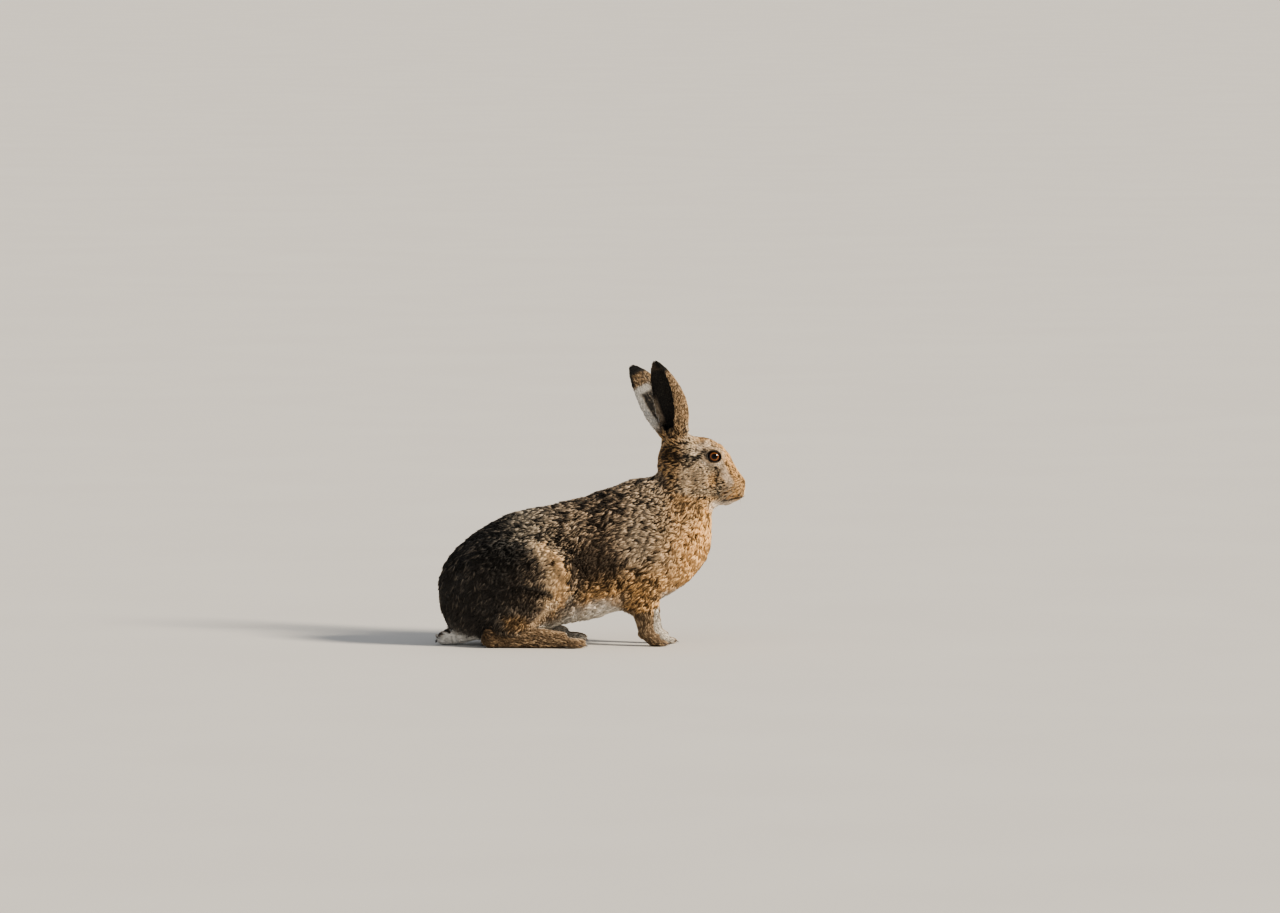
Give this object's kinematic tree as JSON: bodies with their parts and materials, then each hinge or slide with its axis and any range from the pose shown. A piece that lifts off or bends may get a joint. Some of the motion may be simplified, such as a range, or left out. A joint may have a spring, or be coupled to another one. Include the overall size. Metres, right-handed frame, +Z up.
{
  "type": "brown hare",
  "caption": "Life-size still model of a brown hare crouching on all four feet with its ears raised, for standing on a floor or plinth.",
  "frame": {"origin": "centre of the bounding box's bottom face, on the floor under the belly", "axes": "+X towards the nose, +Y to the animal's left, +Z up"},
  "size_m": [0.3958, 0.146, 0.3663],
  "materials": {
    "coat_body": "matte agouti fur, white below",
    "coat_head": "short matte fur, pale round the eye and lips",
    "coat_ear": "short matte fur with a black tip",
    "coat_leg": "short matte tawny fur",
    "coat_tail": "matte fur, black above and white below",
    "eye": "clear gloss over an amber iris"
  },
  "bodies": {
    "root": {"torso": "coat_body", "neck": "coat_body", "head": "coat_head", "tail": "coat_tail", "thigh_left": "coat_body", "thigh_right": "coat_body", "hind_foot_left": "coat_leg", "hind_foot_right": "coat_leg", "foreleg_left": "coat_leg", "foreleg_right": "coat_leg", "forefoot_left": "coat_leg", "forefoot_right": "coat_leg", "ear_left": "coat_ear", "ear_right": "coat_ear", "eye_left": "eye", "eye_right": "eye"}
  },
  "joints": []
}
